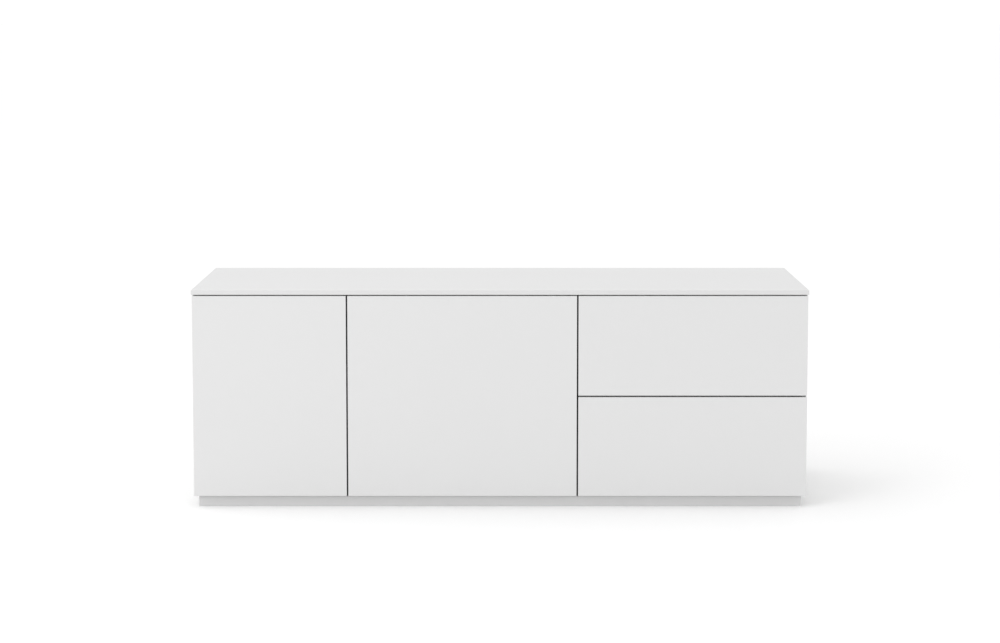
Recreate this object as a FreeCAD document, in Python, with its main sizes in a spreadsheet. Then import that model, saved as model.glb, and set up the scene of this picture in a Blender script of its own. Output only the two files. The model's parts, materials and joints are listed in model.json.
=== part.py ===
import FreeCAD, Part
import os
import re
import Sketcher

# A low white sideboard for a television. A narrow cabinet with one door stands
# on the left, a wide cabinet with one door in the middle, and two equal drawers
# fill the right bay. All fronts are full overlay and have no handles: a push
# latch behind each one kicks it open. The body stands on a recessed plinth.
# Frame: millimetres, +Z up, front faces -Y, origin on the floor under the
# centre of the top panel.

doc = FreeCAD.newDocument("Sideboard")
sheet = doc.addObject("Spreadsheet::Sheet", "Sizes")

SIZES = (
    # the whole piece
    ("top_width", 1600), ("top_depth", 500), ("top_board", 12), ("total_height", 570),
    ("soft_edge", 1), ("body_side", 798), ("body_rear", 248), ("carcass_front", -226),
    ("board", 19), ("edge_band", 1),
    # plinth
    ("plinth_height", 26), ("plinth_side", 786), ("plinth_front", -236), ("plinth_rear", 220),
    # bays
    ("left_partition_centre", -397.5), ("right_partition_centre", 201.5),
    # fronts
    ("front_face", -248), ("reveal", 4), ("front_rise", 3), ("front_height", 526),
    # backs and shelves
    ("back_board", 5), ("back_inset", 12), ("groove_depth", 6), ("cable_hole", 60),
    ("cable_hole_level", 150), ("shelf_board", 18), ("shelf_level", 292), ("shelf_front", -200),
    ("shelf_play", 1), ("pin_width", 5), ("pin_depth", 9), ("pin_reach", 8),
    ("pin_pitch", 32), ("pin_front", -163), ("pin_rear", 163),
    # connecting fittings
    ("cam_width", 15), ("cam_depth", 12.5), ("cam_setback", 24), ("bolt_width", 7),
    ("thread_width", 5), ("thread_depth", 9), ("fitting_row", 180), ("dowel_width", 8),
    ("dowel_reach", 9), ("dowel_hold", 21), ("dowel_row", 128),
    # concealed hinges, measured from the door's outer front corner
    ("cup_width", 35), ("cup_centre", 22.5), ("cup_depth", 11.5), ("cup_wall", 0.8),
    ("flange_board", 1.2), ("flange_rim", 40), ("flange_length", 66), ("flange_ear", 16),
    ("cup_screw_row", 26), ("hinge_edge", 80),
    ("axis_along", 8), ("axis_deep", 6), ("arm_pin_along", 30), ("arm_pin_deep", 28),
    ("cup_pin_along", 26.5), ("cup_pin_deep", 12.5), ("pin_steel", 3), ("pin_play", 0.25),
    ("link_half", 2.6), ("link_plate", 2), ("outer_link_side", 6), ("inner_link_side", 5),
    ("arm_half", 10.5), ("arm_steel", 1.5), ("arm_foot", 22), ("arm_cover", 36),
    ("arm_cover_start", 42), ("arm_end", 84), ("arm_nose", 24),
    ("plate_wing", 25), ("plate_board", 3), ("plate_start", 44), ("plate_end", 76),
    ("plate_boss", 32), ("plate_screw_row", 16), ("plate_screw_deep", 60),
    ("screw_width", 4), ("screw_length", 15), ("screw_head_width", 7), ("screw_head", 1.4),
    # drawers
    ("drawer_board", 15), ("drawer_bottom_board", 6), ("drawer_rear", 161),
    ("drawer_side_height", 190), ("lower_box_level", 60), ("drawer_bottom_rise", 12),
    ("slot_depth", 6),
    # ball bearing runners
    ("runner_width", 12.7), ("runner_length", 400), ("runner_front", -224),
    ("runner_steel", 1.2), ("runner_rise", 70), ("cabinet_rail_height", 45),
    ("middle_rail_height", 36), ("drawer_rail_height", 27), ("ball_lane", 0.8),
    ("outer_lip", 10.5), ("inner_lip", 8.5), ("runner_screw_row", 160),
    ("runner_screw_width", 6), ("runner_screw_length", 11),
    # push latches
    ("latch_width", 14), ("latch_length", 76), ("latch_front", -224), ("latch_drop", 33),
    ("plunger_width", 7), ("plunger_play", 0.3), ("plunger_length", 46), ("strike_board", 1),
    ("drawer_latch_start", 178), ("drawer_latch_end", 229), ("drawer_latch_width", 28),
    ("drawer_latch_height", 18),
    # small soft parts
    ("bumper_width", 7), ("bumper_board", 1.6), ("bumper_side", 4), ("bumper_end", 13),
)
for row, (alias, value) in enumerate(SIZES, start=1):
    sheet.set(f"A{row}", alias)
    sheet.set(f"B{row}", str(value))
    sheet.setAlias(f"B{row}", alias)
doc.recompute()

TURNS = {
    "x": FreeCAD.Rotation(FreeCAD.Vector(0, 1, 0), 90),
    "-x": FreeCAD.Rotation(FreeCAD.Vector(0, 1, 0), -90),
    "y": FreeCAD.Rotation(FreeCAD.Vector(1, 0, 0), -90),
    "-y": FreeCAD.Rotation(FreeCAD.Vector(1, 0, 0), 90),
    "z": FreeCAD.Rotation(),
    "-z": FreeCAD.Rotation(FreeCAD.Vector(1, 0, 0), 180),
    "half turn": FreeCAD.Rotation(FreeCAD.Vector(0, 0, 1), 180),
}
nodes = {}
corners = {}


# Expressions ---------------------------------------------------------------
def cells(text):
    """Put the sheet's name in front of every alias of an expression."""
    return re.sub(r"[a-z][a-z_]+", lambda word: "Sizes." + word.group(0), text)


def bind(thing, prop, text):
    thing.setExpression(prop, cells(text))


def place(thing, at, towards="z"):
    """Turn a thing's own +Z towards an axis and bind its place to the sheet."""
    thing.Placement = FreeCAD.Placement(FreeCAD.Vector(), TURNS[towards])
    for axis, text in zip("xyz", at):
        bind(thing, f"Placement.Base.{axis}", text)


def moved(at, axis, step):
    """The same place, a step further along one axis."""
    at = list(at)
    at["xyz".index(axis)] += f" + ({step})"
    return tuple(at)


# Sketches and solids -------------------------------------------------------
def new_body(label, corner=("0", "0", "0")):
    body = doc.addObject("PartDesign::Body", label)
    place(body, corner)
    corners[label] = corner
    return body


def new_sketch(body, role="XY_Plane"):
    planes = {feature.Role: feature for feature in body.Origin.OriginFeatures}
    sketch = body.newObject("Sketcher::SketchObject", body.Name + "_sketch")
    sketch.AttachmentSupport = (planes[role], [""])
    sketch.MapMode = "FlatFace"
    return sketch


def polygon(sketch, points):
    """A closed outline whose corners are bound to the sheet."""
    count = len(points)
    first = sketch.GeometryCount
    for step in range(count):
        start = FreeCAD.Vector(step, step % 2, 0)
        end = FreeCAD.Vector((step + 1) % count, (step + 1) % 2 + 0.5, 0)
        sketch.addGeometry(Part.LineSegment(start, end))
    for step in range(count):
        ends = (first + step, 2, first + (step + 1) % count, 1)
        sketch.addConstraint(Sketcher.Constraint("Coincident", *ends))
    for step, corner in enumerate(points):
        for kind, text in zip(("DistanceX", "DistanceY"), corner):
            rule = sketch.addConstraint(Sketcher.Constraint(kind, first + step, 1, 1.0))
            bind(sketch, f"Constraints[{rule}]", text)


def ring(sketch, centre, diameter):
    """A circle bound to the sheet."""
    circle = sketch.addGeometry(Part.Circle(FreeCAD.Vector(1, 1, 0), FreeCAD.Vector(0, 0, 1), 1))
    for kind, text in zip(("DistanceX", "DistanceY"), centre):
        rule = sketch.addConstraint(Sketcher.Constraint(kind, circle, 3, 1.0))
        bind(sketch, f"Constraints[{rule}]", text)
    rule = sketch.addConstraint(Sketcher.Constraint("Diameter", circle, 1.0))
    bind(sketch, f"Constraints[{rule}]", diameter)


def pad(body, sketch, length, middle=False):
    feature = body.newObject("PartDesign::Pad", body.Name + "_pad")
    feature.Profile = sketch
    feature.SideType = "Symmetric" if middle else "One side"
    bind(feature, "Length", length)
    return feature


def pocket(body, sketch, length, middle=False):
    feature = body.newObject("PartDesign::Pocket", body.Name + "_pocket")
    feature.Profile = sketch
    feature.SideType = "Symmetric" if middle else "One side"
    bind(feature, "Length", length)
    return feature


def board(label, corner, size, soft=False):
    """A panel with its lower front left corner at a place; soft rounds its edges."""
    body = new_body(label, corner)
    sketch = new_sketch(body)
    wide, deep, high = size
    polygon(sketch, (("0", "0"), (wide, "0"), (wide, deep), ("0", deep)))
    slab = pad(body, sketch, high)
    if soft:
        doc.recompute()
        fillet = body.newObject("PartDesign::Fillet", label + "_soft_edges")
        fillet.Base = (slab, [f"Edge{n}" for n in range(1, 13)])
        bind(fillet, "Radius", "soft_edge")
    nodes[label] = body
    return body


def bore(body, at, towards, diameter, depth):
    """A round hole that starts at a place of the whole piece and goes one way."""
    hole = body.newObject("PartDesign::SubtractiveCylinder", body.Name + "_bore")
    bind(hole, "Radius", f"({diameter}) / 2")
    bind(hole, "Height", depth)
    own = [f"({a}) - ({b})" for a, b in zip(at, corners[body.Label])]
    place(hole, own, towards)


def groove(body, at, size):
    """A straight groove or rebate, its lowest corner at a place of the whole piece."""
    cut = body.newObject("PartDesign::SubtractiveBox", body.Name + "_groove")
    for prop, text in zip(("Length", "Width", "Height"), size):
        bind(cut, prop, text)
    own = [f"({a}) - ({b})" for a, b in zip(at, corners[body.Label])]
    place(cut, own)


def rod(label, diameter, length):
    """A plain round piece along +Z, made once and then placed by copies()."""
    piece = doc.addObject("Part::Cylinder", label)
    bind(piece, "Radius", f"({diameter}) / 2")
    bind(piece, "Height", length)
    return piece


def block(label, size):
    piece = doc.addObject("Part::Box", label)
    for prop, text in zip(("Length", "Width", "Height"), size):
        bind(piece, prop, text)
    return piece


def copies(label, *sets):
    """One node of repeated pieces: each set is a piece and its spots, and each spot
    is a place and the way the piece's own +Z points there."""
    links = []
    for piece, spots in sets:
        for at, towards in spots:
            link = doc.addObject("App::Link", label + "_copy")
            link.LinkedObject = piece
            place(link, at, towards)
            links.append(link)
    group = doc.addObject("Part::Compound", label)
    group.Links = links
    nodes[label] = group


# Places that several pieces share -------------------------------------------
TOP_UNDER = "total_height - top_board"
FLOOR_TOP = "plinth_height + board"
LEFT_IN = "-body_side + board"
RIGHT_IN = "body_side - board"
LEFT_PART = "left_partition_centre - board / 2"
LEFT_PART_END = "left_partition_centre + board / 2"
RIGHT_PART = "right_partition_centre - board / 2"
RIGHT_PART_END = "right_partition_centre + board / 2"
WOOD_FRONT = "carcass_front + edge_band"
WOOD_DEEP = "body_rear - carcass_front - edge_band"
FRONT_LEVEL = "plinth_height + front_rise"
DOOR_BACK = "front_face + board"
BACK_FRONT = "body_rear - back_inset - back_board"


# The carcass ----------------------------------------------------------------
top = board(
    "top_panel",
    ("-top_width / 2", "-top_depth / 2", TOP_UNDER),
    ("top_width", "top_depth", "top_board"),
    soft=True,
)
side_size = ("board", WOOD_DEEP, "total_height - top_board - plinth_height")
left_side = board("left_side_panel", ("-body_side", WOOD_FRONT, "plinth_height"), side_size)
right_side = board("right_side_panel", (RIGHT_IN, WOOD_FRONT, "plinth_height"), side_size)
bottom = board(
    "bottom_panel",
    (LEFT_IN, WOOD_FRONT, "plinth_height"),
    ("2 * (body_side - board)", WOOD_DEEP, "board"),
)
part_size = ("board", WOOD_DEEP, "total_height - top_board - plinth_height - board")
left_part = board("left_partition", (LEFT_PART, WOOD_FRONT, FLOOR_TOP), part_size)
right_part = board("right_partition", (RIGHT_PART, WOOD_FRONT, FLOOR_TOP), part_size)

# Dark bands close the front edges, so that the gaps between the fronts stay black.
band_high = "total_height - top_board - plinth_height"
bands = []
for name, at, size in (
    ("left", ("-body_side", "carcass_front", "plinth_height"), ("board", "edge_band", band_high)),
    ("right", (RIGHT_IN, "carcass_front", "plinth_height"), ("board", "edge_band", band_high)),
    ("floor", (LEFT_IN, "carcass_front", "plinth_height"),
     ("2 * (body_side - board)", "edge_band", "board")),
    ("left_inner", (LEFT_PART, "carcass_front", FLOOR_TOP),
     ("board", "edge_band", band_high + " - board")),
    ("right_inner", (RIGHT_PART, "carcass_front", FLOOR_TOP),
     ("board", "edge_band", band_high + " - board")),
):
    strip = block(name + "_band", size)
    place(strip, at)
    bands.append(strip)
band_group = doc.addObject("Part::Compound", "carcass_edge_bands")
band_group.Links = bands
nodes["carcass_edge_bands"] = band_group

# Thin backs sit in grooves of the sides, partitions and floor; two have a cable hole.
bays = {
    "left": (LEFT_IN, LEFT_PART),
    "middle": (LEFT_PART_END, RIGHT_PART),
    "right": (RIGHT_PART_END, RIGHT_IN),
}
groove_size = ("groove_depth", "back_board", "total_height")
groove_low = "plinth_height + board - groove_depth"
for panel, starts in (
    (left_side, [LEFT_IN + " - groove_depth"]),
    (left_part, [LEFT_PART, LEFT_PART_END + " - groove_depth"]),
    (right_part, [RIGHT_PART, RIGHT_PART_END + " - groove_depth"]),
    (right_side, [RIGHT_IN]),
):
    for start in starts:
        groove(panel, (start, BACK_FRONT, groove_low), groove_size)
for name, (start, end) in bays.items():
    wide = f"({end}) - ({start}) + 2 * groove_depth"
    corner = (start + " - groove_depth", BACK_FRONT, groove_low)
    size = (wide, "back_board", f"{TOP_UNDER} - ({groove_low})")
    back = board(name + "_back_panel", corner, size)
    groove(bottom, corner, (wide, "back_board", "groove_depth"))
    if name != "right":
        middle = (f"(({start}) + ({end})) / 2", BACK_FRONT, "cable_hole_level")
        bore(back, middle, "y", "cable_hole", "back_board")

# The plinth is a ladder of strips on edge, set back on all sides.
plinth_inner = "plinth_rear - board"
board(
    "plinth_front_rail",
    ("-plinth_side", "plinth_front", "0"),
    ("2 * plinth_side", "board", "plinth_height"),
)
board(
    "plinth_rear_rail",
    ("-plinth_side", plinth_inner, "0"),
    ("2 * plinth_side", "board", "plinth_height"),
)
cross_rail = block(
    "cross_rail", ("board", "plinth_rear - plinth_front - 2 * board", "plinth_height")
)
for name, starts in (
    ("plinth_end_rails", ("-plinth_side", "plinth_side - board")),
    ("plinth_cross_rails", (LEFT_PART, RIGHT_PART)),
):
    spots = [((start, "plinth_front + board", "0"), "z") for start in starts]
    copies(name, (cross_rail, spots))


# Cam fittings and dowels ----------------------------------------------------
# Each joint: the panel that holds the cam, the panel that takes the bolt, the
# place of the joint plane, the way the bolt points and the way the cam is bored.
joints = (
    (bottom, left_side, (LEFT_IN, "0", "plinth_height + board / 2"), "-x", "z",
     "plinth_height"),
    (bottom, right_side, (RIGHT_IN, "0", "plinth_height + board / 2"), "x", "z",
     "plinth_height"),
    (left_part, bottom, ("left_partition_centre", "0", FLOOR_TOP), "-z", "-x",
     LEFT_PART_END),
    (right_part, bottom, ("right_partition_centre", "0", FLOOR_TOP), "-z", "x",
     RIGHT_PART),
    (left_part, top, ("left_partition_centre", "0", TOP_UNDER), "z", "-x", LEFT_PART_END),
    (right_part, top, ("right_partition_centre", "0", TOP_UNDER), "z", "x", RIGHT_PART),
    (left_side, top, ("-body_side + board / 2", "0", TOP_UNDER), "z", "-x", LEFT_IN),
    (right_side, top, ("body_side - board / 2", "0", TOP_UNDER), "z", "x", RIGHT_IN),
)
OPPOSITE = {"x": "-x", "-x": "x", "y": "-y", "-y": "y", "z": "-z", "-z": "z"}


def step_along(at, towards, distance):
    sign = "-" if towards.startswith("-") else ""
    return moved(at, towards[-1], f"{sign}({distance})")


def dowelled(holder, taker, spot, out, spots):
    """A dowel across a joint: most of it in the panel whose end meets the other."""
    bore(holder, spot, OPPOSITE[out], "dowel_width", "dowel_hold")
    bore(taker, spot, out, "dowel_width", "dowel_reach")
    spots.append((step_along(spot, OPPOSITE[out], "dowel_hold"), out))


cam_spots = []
bolt_spots = []
dowel_spots = []
for holder, taker, plane, out, cam_way, cam_face in joints:
    back_way = OPPOSITE[out]
    for row in ("-fitting_row", "fitting_row"):
        spot = moved(plane, "y", row)
        cam = list(step_along(spot, back_way, "cam_setback"))
        cam["xyz".index(cam_way[-1])] = cam_face
        bore(holder, tuple(cam), cam_way, "cam_width", "cam_depth")
        bore(holder, spot, back_way, "bolt_width", "cam_setback")
        bore(taker, spot, out, "thread_width", "thread_depth")
        cam_spots.append((tuple(cam), cam_way))
        bolt_spots.append((spot, out))
    for row in ("-dowel_row", "dowel_row"):
        dowelled(holder, taker, moved(plane, "y", row), out, dowel_spots)

dowel = rod("wood_dowel", "dowel_width", "dowel_hold + dowel_reach")
copies("wood_dowels", (dowel, dowel_spots))

# A bolt is a turned pin: a stem up to the cam and a thinner thread in the other panel.
bolt = doc.addObject("PartDesign::Body", "cam_bolt")
bolt_sketch = new_sketch(bolt, "XZ_Plane")
bolt_stem = "-(cam_setback - cam_width / 2)"
polygon(bolt_sketch, (
    ("0", bolt_stem), ("bolt_width / 2", bolt_stem), ("bolt_width / 2", "0"),
    ("thread_width / 2", "0"), ("thread_width / 2", "thread_depth"), ("0", "thread_depth"),
))
bolt_turn = bolt.newObject("PartDesign::Revolution", "cam_bolt_turned")
bolt_turn.Profile = bolt_sketch
bolt_turn.ReferenceAxis = (bolt_sketch, ["V_Axis"])
bolt_turn.Angle = 360
cam = rod("cam_lock", "cam_width", "cam_depth")
copies("cam_fittings", (cam, cam_spots), (bolt, bolt_spots))


# Shelves --------------------------------------------------------------------
shelf_deep = f"{BACK_FRONT} - shelf_play - shelf_front"
pin_spots = []
for name, panels in (("left", (left_side, left_part)), ("middle", (left_part, right_part))):
    start, end = bays[name]
    corner = (start + " + shelf_play", "shelf_front", "shelf_level")
    size = (f"({end}) - ({start}) - 2 * shelf_play", shelf_deep, "shelf_board")
    board(name + "_shelf", corner, size)
    pin_level = "shelf_level - pin_width / 2"
    for panel, face, out in ((panels[0], start, "-x"), (panels[1], end, "x")):
        for row in ("pin_front", "pin_rear"):
            for level in ("-pin_pitch", "0", "pin_pitch"):
                spot = (face, row, f"{pin_level} + {level}")
                bore(panel, spot, out, "pin_width", "pin_depth")
            inner = step_along((face, row, pin_level), OPPOSITE[out], "pin_reach")
            pin_spots.append((inner, out))
pin = rod("shelf_pin", "pin_width", "pin_reach + pin_depth")
copies("shelf_pins", (pin, pin_spots))


# Doors ----------------------------------------------------------------------
LEFT_DOOR = "-body_side"
LEFT_DOOR_END = "left_partition_centre - reveal / 2"
MIDDLE_DOOR = "left_partition_centre + reveal / 2"
MIDDLE_DOOR_END = "right_partition_centre - reveal / 2"
DRAWER_START = "right_partition_centre + reveal / 2"
hinge_levels = (
    f"{FRONT_LEVEL} + hinge_edge",
    f"{FRONT_LEVEL} + front_height - hinge_edge",
)
doors = {}
for name, start, end in (
    ("left", LEFT_DOOR, LEFT_DOOR_END),
    ("middle", MIDDLE_DOOR, MIDDLE_DOOR_END),
):
    size = (f"({end}) - ({start})", "board", "front_height")
    door = board(name + "_door", (start, "front_face", FRONT_LEVEL), size, soft=True)
    for level in hinge_levels:
        mouth = (f"{start} + cup_centre", DOOR_BACK, level)
        bore(door, mouth, "-y", "cup_width", "cup_depth")
    doors[name] = (start, end)


# Concealed hinges -----------------------------------------------------------
# The cup in the door and the arm on the wall are joined by two links that make a
# parallelogram, so the door turns about a line just inside its own outer corner.
# Every piece is drawn once, from the door's outer front corner at mid height.
arm_pin = ("arm_pin_along", "arm_pin_deep")
cup_pin = ("cup_pin_along", "cup_pin_deep")
elbow = ("arm_pin_along + cup_pin_along - axis_along", "arm_pin_deep + cup_pin_deep - axis_deep")


def bar(body, start, end, thickness, run, rise, length):
    """A flat link with round eyes: two discs and the strip between them."""
    for eye in (start, end):
        sketch = new_sketch(body)
        ring(sketch, eye, "2 * link_half")
        pad(body, sketch, thickness, middle=True)
    sketch = new_sketch(body)
    sides = []
    for point, sign in ((start, "+"), (end, "+"), (end, "-"), (start, "-")):
        across = f"{point[0]} {sign} link_half * ({rise}) / ({length})"
        other = "-" if sign == "+" else "+"
        along = f"{point[1]} {other} link_half * ({run}) / ({length})"
        sides.append((across, along))
    polygon(sketch, sides)
    pad(body, sketch, thickness, middle=True)


def pins(body, spots, diameter, length):
    for spot in spots:
        sketch = new_sketch(body)
        ring(sketch, spot, diameter)
        pad(body, sketch, length, middle=True)


def eye_holes(body, spots, diameter, length):
    for spot in spots:
        sketch = new_sketch(body)
        ring(sketch, spot, diameter)
        pocket(body, sketch, length, middle=True)


outer_link = new_body("outer_link")
outer_run = "cup_pin_along - axis_along"
outer_rise = "cup_pin_deep - axis_deep"
outer_long = "(cup_pin_along - axis_along)^2 + (cup_pin_deep - axis_deep)^2"
bar(outer_link, arm_pin, elbow, "2 * (outer_link_side + link_plate)",
    outer_run, outer_rise, f"({outer_long})^0.5")
eye_holes(outer_link, [arm_pin], "pin_steel + 2 * pin_play", "4 * arm_half")
fork = new_sketch(outer_link)
polygon(fork, (("0", "0"), ("arm_end", "0"), ("arm_end", "arm_end"), ("0", "arm_end")))
pocket(outer_link, fork, "2 * outer_link_side", middle=True)
# The two side plates are held together by the elbow pin.
pins(outer_link, [elbow], "pin_steel", "2 * (outer_link_side + link_plate)")

inner_link = new_body("inner_link")
inner_run = "arm_pin_along - axis_along"
inner_rise = "arm_pin_deep - axis_deep"
inner_long = "(arm_pin_along - axis_along)^2 + (arm_pin_deep - axis_deep)^2"
bar(inner_link, cup_pin, elbow, "2 * inner_link_side", inner_run, inner_rise,
    f"({inner_long})^0.5")
eye_holes(inner_link, [cup_pin, elbow], "pin_steel + 2 * pin_play", "4 * arm_half")

# The arm: one folded plate, its two cheeks carry the arm pin and its web covers
# the mounting plate once the arm is hooked on.
arm = new_body("hinge_arm")
arm_side = new_sketch(arm)
polygon(arm_side, (
    ("arm_foot + 3", "arm_nose"), ("arm_cover - 2", "arm_nose"),
    ("arm_cover", "arm_cover_start - 8"),
    ("arm_cover", "arm_end"), ("arm_foot", "arm_end"), ("arm_foot", "arm_cover_start - 4"),
))
pad(arm, arm_side, "2 * arm_half", middle=True)
arm_inside = new_sketch(arm)
polygon(arm_inside, (
    ("0", "0"), ("2 * arm_cover", "0"), ("2 * arm_cover", "arm_cover_start"),
    ("arm_cover - arm_steel", "arm_cover_start"), ("arm_cover - arm_steel", "2 * arm_end"),
    ("0", "2 * arm_end"),
))
pocket(arm, arm_inside, "2 * (arm_half - arm_steel)", middle=True)
pins(arm, [arm_pin], "pin_steel", "2 * arm_half")


def lump(body, kind, sizes, at, towards="z"):
    """A box or cylinder added to or cut from a body at a place of its own."""
    feature = body.newObject("PartDesign::" + kind, body.Name + "_" + kind)
    names = ("Length", "Width", "Height") if kind.endswith("Box") else ("Radius", "Height")
    for prop, text in zip(names, sizes):
        bind(feature, prop, text)
    place(feature, at, towards)


# The cup: a drawn steel dish let into the door, with two ears for screws.
cup = new_body("hinge_cup")
lump(cup, "AdditiveCylinder", ("cup_width / 2", "cup_depth"), ("cup_centre", "board", "0"), "-y")
lump(cup, "AdditiveCylinder", ("flange_rim / 2", "flange_board"), ("cup_centre", "board", "0"), "y")
lump(cup, "AdditiveBox", ("flange_ear", "flange_board", "flange_length"),
     ("cup_centre - flange_ear / 2", "board", "-flange_length / 2"))
lump(cup, "SubtractiveCylinder",
     ("cup_width / 2 - cup_wall", "cup_depth + flange_board - cup_wall"),
     ("cup_centre", "board + flange_board", "0"), "-y")
for row in ("-cup_screw_row", "cup_screw_row"):
    lump(cup, "SubtractiveCylinder", ("screw_width / 2", "flange_board"),
         ("cup_centre", "board", row), "y")
pins(cup, [cup_pin], "pin_steel", "cup_width - 2 * cup_wall")


def mounting_plate(label, wall):
    """A plate with two screw wings, and a boss that lifts the arm off the wall."""
    plate = new_body(label)
    for reach, half in ((f"{wall} + plate_board", "plate_wing"),
                        ("plate_boss", "(arm_half - arm_steel)")):
        outline = new_sketch(plate)
        polygon(outline, (
            (wall, "plate_start"), (reach, "plate_start"),
            (reach, "plate_end"), (wall, "plate_end"),
        ))
        pad(plate, outline, f"2 * {half}", middle=True)
    for row in ("-plate_screw_row", "plate_screw_row"):
        lump(plate, "SubtractiveCylinder", ("screw_width / 2", "plate_board"),
             (wall, "plate_screw_deep", row), "x")
    return plate


screw = doc.addObject("PartDesign::Body", "screw")
screw_sketch = new_sketch(screw, "XZ_Plane")
polygon(screw_sketch, (
    ("0", "-screw_head"), ("screw_head_width / 2", "-screw_head"), ("screw_head_width / 2", "0"),
    ("screw_width / 2", "0"), ("screw_width / 2", "screw_length"), ("0", "screw_length"),
))
screw_turn = screw.newObject("PartDesign::Revolution", "screw_turned")
screw_turn.Profile = screw_sketch
screw_turn.ReferenceAxis = (screw_sketch, ["V_Axis"])
screw_turn.Angle = 360

# How far each wall stands in from its door's outer edge.
walls = {"left": "board", "middle": "board / 2 - reveal / 2"}
wall_panels = {"left": left_side, "middle": left_part}
arm_spots = []
plate_sets = []
plate_screw_spots = []
for name, (start, end) in doors.items():
    spots = [((start, "front_face", level), "z") for level in hinge_levels]
    plate = mounting_plate(name + "_mounting_plate", walls[name])
    arm_spots += spots
    plate_sets.append((plate, spots))
    copies(name + "_hinge_cups", (cup, spots))
    copies(name + "_hinge_outer_links", (outer_link, spots))
    copies(name + "_hinge_inner_links", (inner_link, spots))
    cup_screws = []
    for level in hinge_levels:
        for row in ("-cup_screw_row", "cup_screw_row"):
            ear = (f"{start} + cup_centre", f"{DOOR_BACK} + flange_board", f"{level} + {row}")
            bore(nodes[name + "_door"], ear, "-y", "screw_width", "screw_length")
            cup_screws.append((ear, "-y"))
        for row in ("-plate_screw_row", "plate_screw_row"):
            wing = (f"{start} + {walls[name]} + plate_board", "front_face + plate_screw_deep",
                    f"{level} + {row}")
            bore(wall_panels[name], wing, "-x", "screw_width", "screw_length")
            plate_screw_spots.append((wing, "-x"))
    copies(name + "_cup_screws", (screw, cup_screws))
copies("hinge_arms", (arm, arm_spots))
copies("hinge_mounting_plates", *plate_sets)


# Push latches of the doors --------------------------------------------------
# A sprung plunger in a small housing on the wall beside each door's free edge.
latch_mid = f"{TOP_UNDER} - latch_drop + latch_width / 2"
door_latch = new_body("door_latch")
lump(door_latch, "AdditiveBox", ("latch_width", "latch_length", "latch_width"), ("0", "0", "0"))
lump(door_latch, "SubtractiveCylinder",
     ("plunger_width / 2 + plunger_play", "latch_length - latch_width"),
     ("latch_width / 2", "0", "latch_width / 2"), "y")
plunger = rod("plunger", "plunger_width", "plunger_length")
bumper = rod("bumper", "bumper_width", "bumper_board")
latch_spots = []
for name, (start, end) in doors.items():
    wall = LEFT_PART if name == "left" else RIGHT_PART
    corner = (f"{wall} - latch_width", "latch_front", f"{TOP_UNDER} - latch_drop")
    latch_spots.append((corner, "z"))
    plate = block(name + "_strike_plate", ("latch_width", "strike_board", "latch_width"))
    place(plate, (f"{wall} - latch_width", DOOR_BACK, f"{TOP_UNDER} - latch_drop"))
    nodes[name + "_strike_plate"] = plate
    tip = (f"{wall} - latch_width / 2", f"{DOOR_BACK} + strike_board", latch_mid)
    copies(name + "_door_plunger", (plunger, [(tip, "y")]))
    dots = []
    for level in (f"{FRONT_LEVEL} + bumper_end", f"{FRONT_LEVEL} + front_height - bumper_end"):
        dots.append(((f"{end} - bumper_side", DOOR_BACK, level), "y"))
    copies(name + "_door_bumpers", (bumper, dots))
copies("door_latch_housings", (door_latch, latch_spots))


# Drawers --------------------------------------------------------------------
BOX_LEFT = RIGHT_PART_END + " + runner_width"
BOX_RIGHT = RIGHT_IN + " - runner_width"
front_wide = f"body_side - ({DRAWER_START})"
front_high = "(front_height - reveal) / 2"
runner_mid = "runner_front + runner_length / 2"


def channel(label, height, lip):
    """A rolled steel rail: a C section, open towards +X, as long as the runner."""
    rail = new_body(label)
    outline = new_sketch(rail, "XZ_Plane")
    half = f"{height} / 2"
    polygon(outline, (
        ("0", f"-{half}"), (lip, f"-{half}"), (lip, f"-{half} + runner_steel"),
        ("runner_steel", f"-{half} + runner_steel"), ("runner_steel", f"{half} - runner_steel"),
        (lip, f"{half} - runner_steel"), (lip, half), ("0", half),
    ))
    pad(rail, outline, "runner_length", middle=True)
    return rail


cabinet_rail = channel("cabinet_rail", "cabinet_rail_height", "outer_lip")
middle_rail = channel("middle_rail", "middle_rail_height", "inner_lip")
drawer_rail = channel("drawer_rail", "drawer_rail_height", "inner_lip")
for row in ("-runner_screw_row", "runner_screw_row"):
    lump(cabinet_rail, "SubtractiveCylinder", ("runner_screw_width / 2", "runner_steel"),
         ("0", row, "0"), "x")
    lump(drawer_rail, "SubtractiveCylinder", ("runner_screw_width / 2", "runner_steel"),
         ("0", row, "0"), "x")
runner_screw = rod("runner_screw", "runner_screw_width", "runner_screw_length + runner_steel")

drawer_latch = new_body("drawer_latch")
lump(drawer_latch, "AdditiveBox",
     ("drawer_latch_width", "drawer_latch_end - drawer_latch_start", "drawer_latch_height"),
     ("0", "0", "-drawer_latch_height / 2"))
lump(drawer_latch, "SubtractiveCylinder",
     ("plunger_width / 2 + plunger_play", "0.8 * plunger_length"),
     ("runner_width + drawer_board / 2", "0", "0"), "y")

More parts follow.
